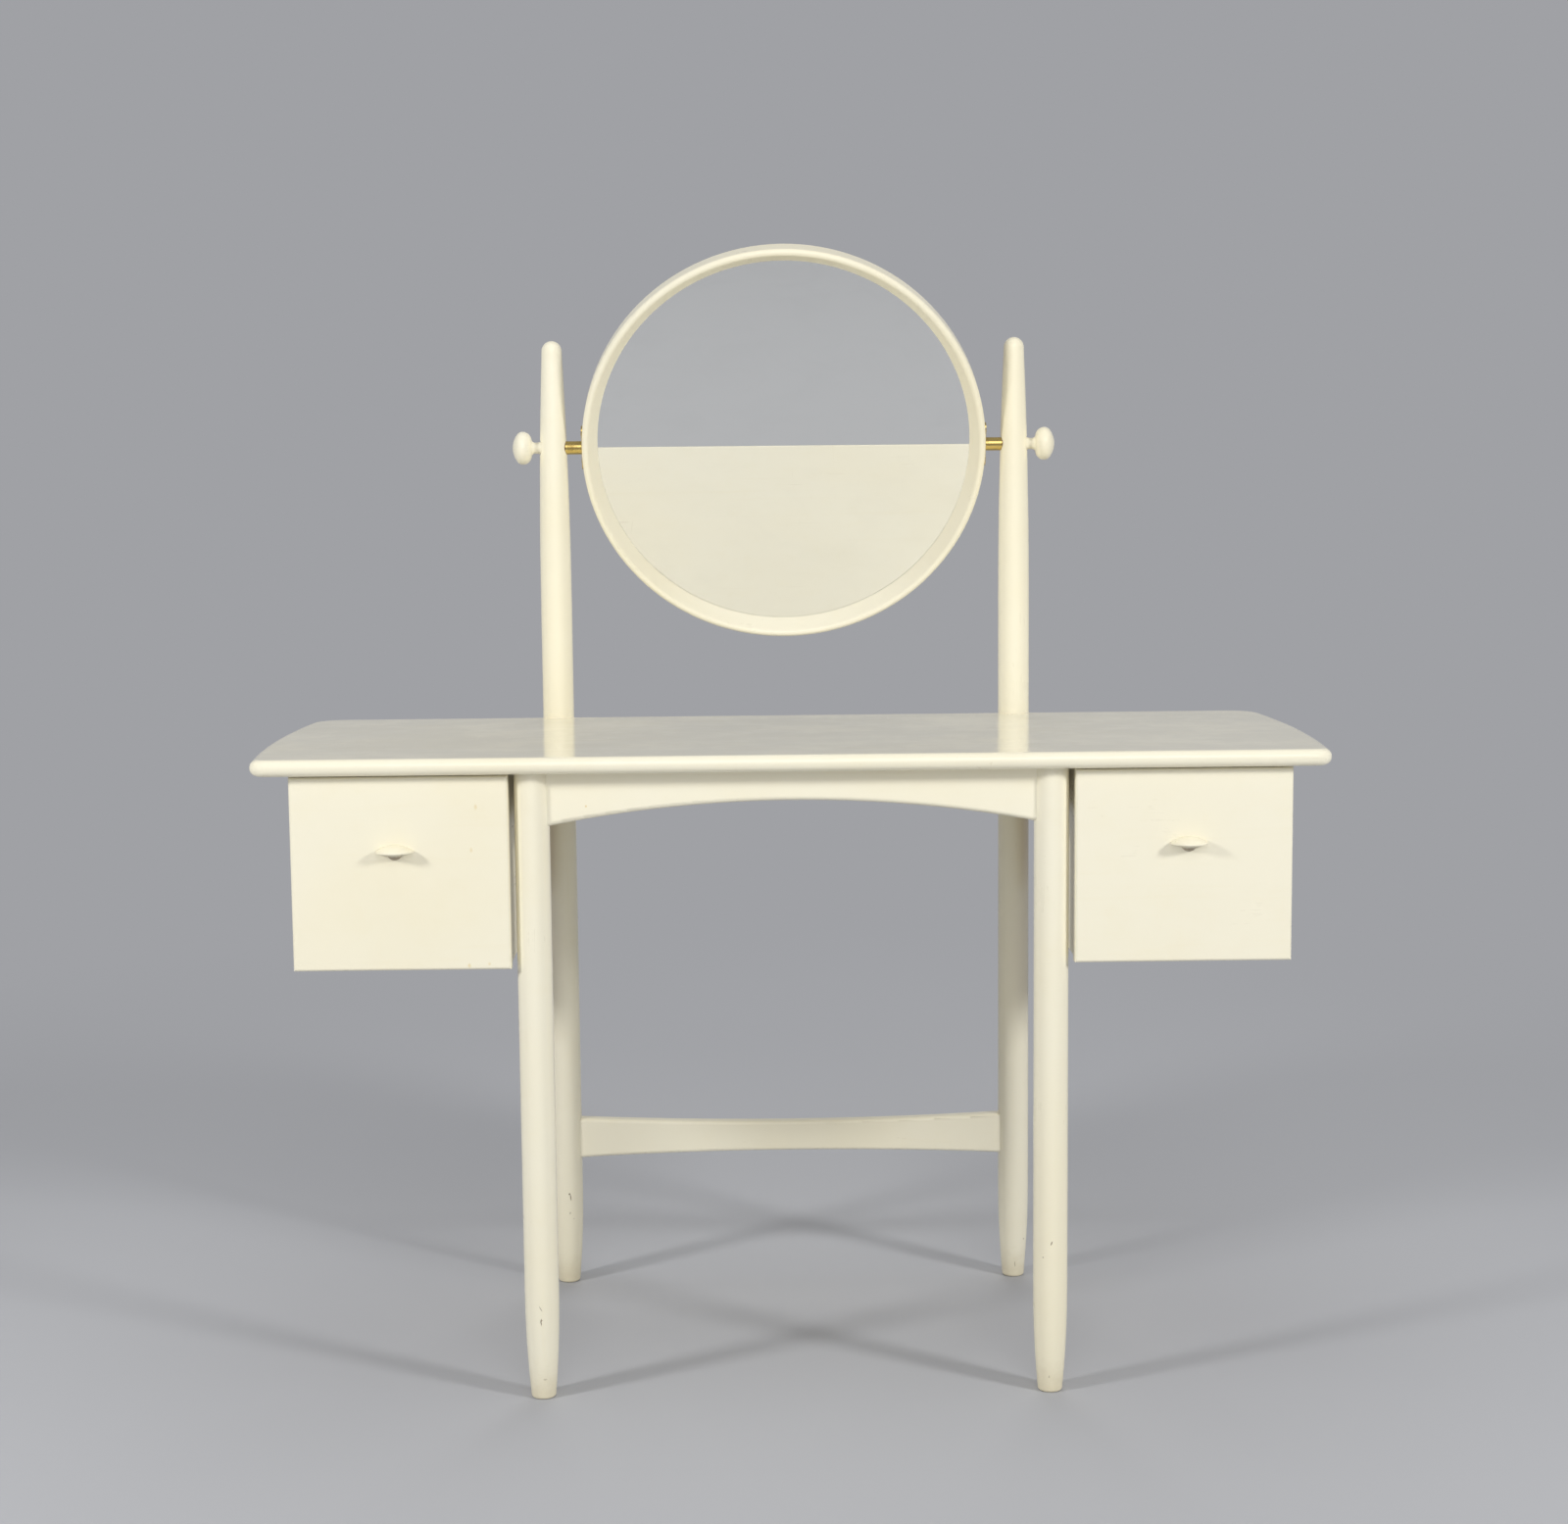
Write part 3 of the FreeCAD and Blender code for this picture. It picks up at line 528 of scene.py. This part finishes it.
# silvered glass, faintly smeared
glassSettings = {
    "clean": tone(246, 246, 243), "dim": tone(238, 238, 235),
    "smear": (14.0, 5.0, 0.6), "smearStretch": (2.0, 1.0), "smearWarp": 0.8,
    "smearEase": (0.4, 0.8, 0.0, 0.3), "roughEase": (0.45, 0.85, 0.006, 0.03),
}


def mirrorFinish(name):
    s = glassSettings
    f = Finish(name)
    smear = f.noise(*s["smear"], f.stretched("z", *s["smearStretch"]), s["smearWarp"])
    colour = f.blend(f.ease(smear, *s["smearEase"]), s["clean"], s["dim"])
    f.set(Base_Color=colour, Metallic=1.0, Roughness=f.ease(smear, *s["roughEase"]))
    return f.material


beech = {axis: beechFinish("bareBeech_" + axis, axis) for axis in "xy"}
ply = plyFinish("birchPly", "x")
board = boardFinish("brownBoard")
brass = brassFinish("agedBrass")
steel = steelFinish("screwSteel")
for side in ("left_", "right_"):
    for part in ("drawer_inner_side", "drawer_outer_side", "drawer_runners"):
        dress(side + part, beech["y"])
    dress(side + "drawer_back", beech["x"])
    for part in ("case_top", "case_bottom", "drawer_bottom"):
        dress(side + part, ply)
    dress(side + "case_back", board)
    for part in ("pivot_plate", "spacer_sleeve", "knob_insert"):
        dress(side + part, brass)
    dress(side + "pivot_rod", steel)
for part in ("corner_blocks", "frame_dowels"):
    dress(part, beech["x"])
dress("mirror_backboard", board)
dress("friction_washers", fibreFinish("fibreWasher"))
dress("mirror_glass", mirrorFinish("silveredGlass"))
print("wood, metal and glass done")


# slotted wood screws and panel pins, grown on the places of the plain ones
smallScrew = {"slot": "screw_steel", "finish": steel, "head": 0.0028, "shank": 0.0015, "crown": 0.0,
              "slotWidth": 0.0009}
screwSettings = {
    "plate_screws": {**smallScrew, "axis": 0, "body": "mirror", "slot": "aged_brass", "finish": brass,
                     "crown": 0.0009, "seed": 3},
    "top_screws": {**smallScrew, "axis": 2, "body": "frame", "head": 0.0040, "shank": 0.0020,
                   "slotWidth": 0.0011, "seed": 5},
    "runner_screws": {**smallScrew, "axis": 0, "body": "frame", "seed": 8},
    "left_pull_screws": {**smallScrew, "axis": 1, "body": "left_drawer", "seed": 11},
    "right_pull_screws": {**smallScrew, "axis": 1, "body": "right_drawer", "seed": 14},
}
screwShape = {
    "headSides": 32, "shankSides": 16,
    "domeAngles": (67.5, 45.0, 22.5, 0.0),  # degrees, rings of the crown from the top down
    "slotLength": 2.4,                      # of the head's radius, so that the slot runs right across
    "slotDepth": 0.55, "shankStart": 0.75,  # of the countersink's depth: the shank starts below the slot
    "shankFit": 0.98,                       # of the shank's radius, so that no faces coincide
    "tipStart": 0.84,                       # of the shank's length
}
pinSettings = {
    "body": "mirror", "slot": "screw_steel", "head": 0.00105, "headHeight": 0.0005, "shank": 0.0006,
    "sides": 16, "shankShare": 0.96,        # of the pin's length
    "seed": 1,
}
mergeDistance = 1e-6
placeDigits = 5      # parts are put in order by their places to a hundredth of a millimetre
sharpAngle = 35.0    # degrees


def middle(corners):
    low = Vector([min(c[i] for c in corners) for i in range(3)])
    high = Vector([max(c[i] for c in corners) for i in range(3)])
    return (low + high) / 2


def looseParts(node):
    # corners of each separate solid of a node, from a merged copy of its mesh, in order of place
    mesh = bmesh.new()
    mesh.from_mesh(nodes[node].data)
    bmesh.ops.remove_doubles(mesh, verts=mesh.verts, dist=mergeDistance)
    waiting = set(mesh.verts)
    parts = []
    while waiting:
        first = waiting.pop()
        part, edge = [first], [first]
        while edge:
            for link in edge.pop().link_edges:
                for corner in link.verts:
                    if corner in waiting:
                        waiting.remove(corner)
                        part.append(corner)
                        edge.append(corner)
        parts.append([corner.co.copy() for corner in part])
    mesh.free()
    return sorted(parts, key=lambda corners: [round(c, placeDigits) for c in middle(corners)])


def screwPlaces(node, axis):
    # centre of each head, the way it faces, and the length of the screw
    places = []
    for corners in looseParts(node):
        centre = middle(corners)
        low = min(c[axis] for c in corners)
        high = max(c[axis] for c in corners)
        across = [i for i in range(3) if i != axis]
        widest = max(corners, key=lambda c: sum((c[i] - centre[i]) ** 2 for i in across))
        atHigh = widest[axis] > centre[axis]
        facing = Vector((0.0, 0.0, 0.0))
        facing[axis] = 1.0 if atHigh else -1.0
        centre[axis] = high if atHigh else low
        places.append((centre, facing, high - low))
    return places


def pinPlaces(node):
    # the same for pins, which stand round a ring with their heads inwards
    parts = looseParts(node)
    centre = middle([corner for corners in parts for corner in corners])
    places = []
    for corners in parts:
        here = middle(corners)
        outward = (here - centre).normalized()
        reach = max((c - here).dot(outward) for c in corners)
        places.append((here - outward * reach, -outward, 2.0 * reach))
    return places


def newTree(name, labels):
    tree = bpy.data.node_groups.new(name, "GeometryNodeTree")
    tree.interface.new_socket("Geometry", in_out="INPUT", socket_type="NodeSocketGeometry")
    for label in labels:
        tree.interface.new_socket(label, in_out="INPUT", socket_type="NodeSocketFloat")
    tree.interface.new_socket("Seed", in_out="INPUT", socket_type="NodeSocketInt")
    tree.interface.new_socket("Geometry", in_out="OUTPUT", socket_type="NodeSocketGeometry")
    net = Net(tree)
    return net, net.node("NodeGroupInput", {}, {})


def lifted(net, shape, lift):
    place = net.node("ShaderNodeCombineXYZ", {}, {"Z": lift})
    return net.node("GeometryNodeTransform", {}, {"Geometry": shape, "Translation": place})


def lathed(net, sides, rings):
    # closed turned shape from its rings, each a radius and a height, the top one first
    bands = []
    for (upper, high), (lower, low) in zip(rings, rings[1:]):
        links = {"Vertices": sides, "Radius Top": upper, "Radius Bottom": lower, "Depth": high - low}
        band = net.node("GeometryNodeMeshCone", {"fill_type": "NONE"}, links)
        bands.append(lifted(net, band, low))
    joined = net.node("GeometryNodeJoinGeometry", {}, {"Geometry": bands})
    return net.node("GeometryNodeMergeByDistance", {}, {"Geometry": joined, "Distance": mergeDistance})


def sown(net, given, head, shank, start, material):
    # heads as they are and shanks drawn out to each screw's own length, on the marked points
    facing = net.node("GeometryNodeInputNamedAttribute", {"data_type": "FLOAT_VECTOR"}, {"Name": "facing"})
    reach = net.node("GeometryNodeInputNamedAttribute", {"data_type": "FLOAT"}, {"Name": "reach"})
    # inputs 2 and 3 and output 1 are the node's sockets for plain numbers
    spin = net.node("FunctionNodeRandomValue", {"data_type": "FLOAT"},
                    {2: 0.0, 3: math.pi, "Seed": given.beside("Seed")}, 1)
    twist = net.node("FunctionNodeAxisAngleToRotation", {}, {"Axis": (0.0, 0.0, 1.0), "Angle": spin})
    aim = net.node("FunctionNodeAlignRotationToVector", {"axis": "Z"}, {"Vector": facing})
    aim = net.node("FunctionNodeRotateRotation", {"rotation_space": "LOCAL"},
                   {"Rotation": aim, "Rotate By": twist})
    points = given.beside("Geometry")
    inward = net.node("ShaderNodeVectorMath", {"operation": "SCALE"},
                      {"Vector": facing, "Scale": start * -1.0})
    sunk = net.node("GeometryNodeSetPosition", {}, {"Geometry": points, "Offset": inward})
    drawn = net.node("ShaderNodeCombineXYZ", {}, {"X": 1.0, "Y": 1.0, "Z": reach - start})
    heads = net.node("GeometryNodeInstanceOnPoints", {},
                     {"Points": points, "Instance": head, "Rotation": aim})
    shanks = net.node("GeometryNodeInstanceOnPoints", {},
                      {"Points": sunk, "Instance": shank, "Rotation": aim, "Scale": drawn})
    both = net.node("GeometryNodeJoinGeometry", {}, {"Geometry": [heads, shanks]})
    real = net.node("GeometryNodeRealizeInstances", {}, {"Geometry": both})
    done = net.node("GeometryNodeSetMaterial", {}, {"Geometry": real, "Material": material})
    net.node("NodeGroupOutput", {}, {"Geometry": done})
    return net.tree


def screwTree(name, s, material):
    net, given = newTree(name, ["Head Radius", "Shank Radius", "Crown", "Slot Width"])
    head, shank = given.beside("Head Radius"), given.beside("Shank Radius")
    crown, slot = given.beside("Crown"), given.beside("Slot Width")
    depth = head - shank     # countersunk at 45 degrees
    turns = [math.radians(angle) for angle in s["domeAngles"]]
    dome = [(0.0, crown)] + [(head * math.cos(turn), crown * math.sin(turn)) for turn in turns]
    whole = lathed(net, s["headSides"], dome + [(shank, depth * -1.0), (0.0, depth * -1.0)])
    tall = (crown + depth * s["slotDepth"]) * 2.0
    size = net.node("ShaderNodeCombineXYZ", {}, {"X": head * s["slotLength"], "Y": slot, "Z": tall})
    groove = lifted(net, net.node("GeometryNodeMeshCube", {}, {"Size": size}), crown)
    cut = net.node("GeometryNodeMeshBoolean", {"operation": "DIFFERENCE", "solver": "EXACT"},
                   {"Mesh 1": whole, "Mesh 2": groove})
    radius = shank * s["shankFit"]
    stem = lathed(net, s["shankSides"], [(0.0, 0.0), (radius, 0.0), (radius, -s["tipStart"]), (0.0, -1.0)])
    return sown(net, given, cut, stem, depth * s["shankStart"], material)


def pinTree(name, s, material):
    net, given = newTree(name, ["Head Radius", "Head Height", "Shank Radius"])
    wide, height, thick = (given.beside(label) for label in ("Head Radius", "Head Height", "Shank Radius"))
    head = net.node("GeometryNodeMeshCylinder", {},
                    {"Vertices": s["sides"], "Radius": wide, "Depth": height})
    stem = net.node("GeometryNodeMeshCylinder", {},
                    {"Vertices": s["sides"], "Radius": thick, "Depth": s["shankShare"]})
    return sown(net, given, lifted(net, head, height * -0.5), lifted(net, stem, -0.5), 0.0, material)


def grown(name, places, tree, sizes):
    points = bpy.data.meshes.new(name + "Points")
    points.from_pydata([centre for centre, facing, reach in places], [], [])
    points.attributes.new("facing", "FLOAT_VECTOR", "POINT")
    points.attributes.new("reach", "FLOAT", "POINT")
    for i, (centre, facing, reach) in enumerate(places):
        points.attributes["facing"].data[i].vector = facing
        points.attributes["reach"].data[i].value = reach
    piece = bpy.data.objects.new(name, points)
    bpy.context.scene.collection.objects.link(piece)
    growth = piece.modifiers.new("growth", "NODES")
    growth.node_group = tree
    for item in tree.interface.items_tree:
        if item.in_out == "INPUT" and item.name in sizes:
            growth[item.identifier] = sizes[item.name]
    made = bpy.data.meshes.new_from_object(piece.evaluated_get(bpy.context.evaluated_depsgraph_get()))
    piece.modifiers.remove(growth)
    piece.data = made
    bpy.data.meshes.remove(points)
    for face in made.polygons:
        face.use_smooth = True
    made.set_sharp_from_angle(angle=math.radians(sharpAngle))
    return piece


for node, s in screwSettings.items():
    tree = screwTree(node + "_tree", screwShape, s["finish"])
    sizes = {"Head Radius": s["head"], "Shank Radius": s["shank"], "Crown": s["crown"],
             "Slot Width": s["slotWidth"], "Seed": s["seed"]}
    piece = grown(node + "_slotted", screwPlaces(node, s["axis"]), tree, sizes)
    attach(piece, s["body"])
    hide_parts(node)
    print(node, len(piece.data.polygons), "faces")
pinSizes = {"Head Radius": pinSettings["head"], "Head Height": pinSettings["headHeight"],
            "Shank Radius": pinSettings["shank"], "Seed": pinSettings["seed"]}
pins = grown("backboard_pins_headed", pinPlaces("backboard_pins"),
             pinTree("panelPins", pinSettings, steel), pinSizes)
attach(pins, pinSettings["body"])
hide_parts("backboard_pins")
print("screws and pins done")


# floor, light and background
studioSettings = {
    "floor": tone(182, 183, 186), "floorRoughness": 0.9, "floorSpecular": 0.2, "floorSize": 80.0,
    "near": 1.0, "far": 2.8,     # between these the floor turns into the background
    "background": tone(160, 161, 165), "fill": 0.65,
    "lamps": {   # place, power, size, and whether it shows as a glare on gloss
        "keyLeft": ((-2.6, -1.7, 1.72), 44.5, 0.5, False),
        "keyRight": ((3.05, -2.3, 2.05), 72.0, 0.62, False),
        "front": ((0.2, -3.6, 2.8), 34.0, 2.8, True),
        "overhead": ((0.0, -0.1, 3.4), 14.0, 2.0, False),
        "rear": ((0.3, 3.4, 2.7), 46.0, 3.0, False),
        "low": ((0.0, -3.4, 0.6), 12.0, 1.8, False),
    },
    "aim": (0.0, 0.0, 0.65),
}


def makeFloor(s):
    half = s["floorSize"] / 2
    corners = [(-half, -half, 0.0), (half, -half, 0.0), (half, half, 0.0), (-half, half, 0.0)]
    mesh = bpy.data.meshes.new("floor")
    mesh.from_pydata(corners, [], [(0, 1, 2, 3)])
    floor = bpy.data.objects.new("floor", mesh)
    bpy.context.scene.collection.objects.link(floor)
    f = Finish("floorPaint")
    f.set(Base_Color=s["floor"], Roughness=s["floorRoughness"], Specular_IOR_Level=s["floorSpecular"])
    x, y = f.axes()[:2]
    away = f.ease((x * x + y * y) ** 0.5, s["near"], s["far"])
    glow = f.node("ShaderNodeEmission", {}, {"Color": s["background"], "Strength": 1.0})
    both = f.node("ShaderNodeMixShader", {}, {0: away, 1: Wire(f, f.shader.outputs[0]), 2: glow})
    f.join(both, f.tree.nodes["Material Output"].inputs["Surface"])
    mesh.materials.append(f.material)


def makeLamps(s):
    for name, (place, power, size, glare) in s["lamps"].items():
        data = bpy.data.lights.new(name, "AREA")
        data.shape = "DISK"
        data.size = size
        data.energy = power
        lamp = bpy.data.objects.new(name, data)
        lamp.location = place
        lamp.rotation_mode = "QUATERNION"
        lamp.rotation_quaternion = (Vector(s["aim"]) - Vector(place)).to_track_quat("-Z", "Y")
        lamp.visible_camera = False
        lamp.visible_glossy = glare
        bpy.context.scene.collection.objects.link(lamp)


def makeWorld(s):
    # seen directly, in gloss or through glass it is the full background; as light it is the fill
    world = bpy.data.worlds.new("studio")
    bpy.context.scene.world = world
    world.use_nodes = True
    net = Net(world.node_tree)
    path = net.node("ShaderNodeLightPath", {}, {}, "Is Camera Ray")
    seen = path.larger(path.beside("Is Glossy Ray")).larger(path.beside("Is Transmission Ray"))
    sky = world.node_tree.nodes["Background"]
    net.join(s["background"], sky.inputs["Color"])
    net.join(seen * (1.0 - s["fill"]) + s["fill"], sky.inputs["Strength"])


makeFloor(studioSettings)
makeLamps(studioSettings)
makeWorld(studioSettings)
print("studio done")
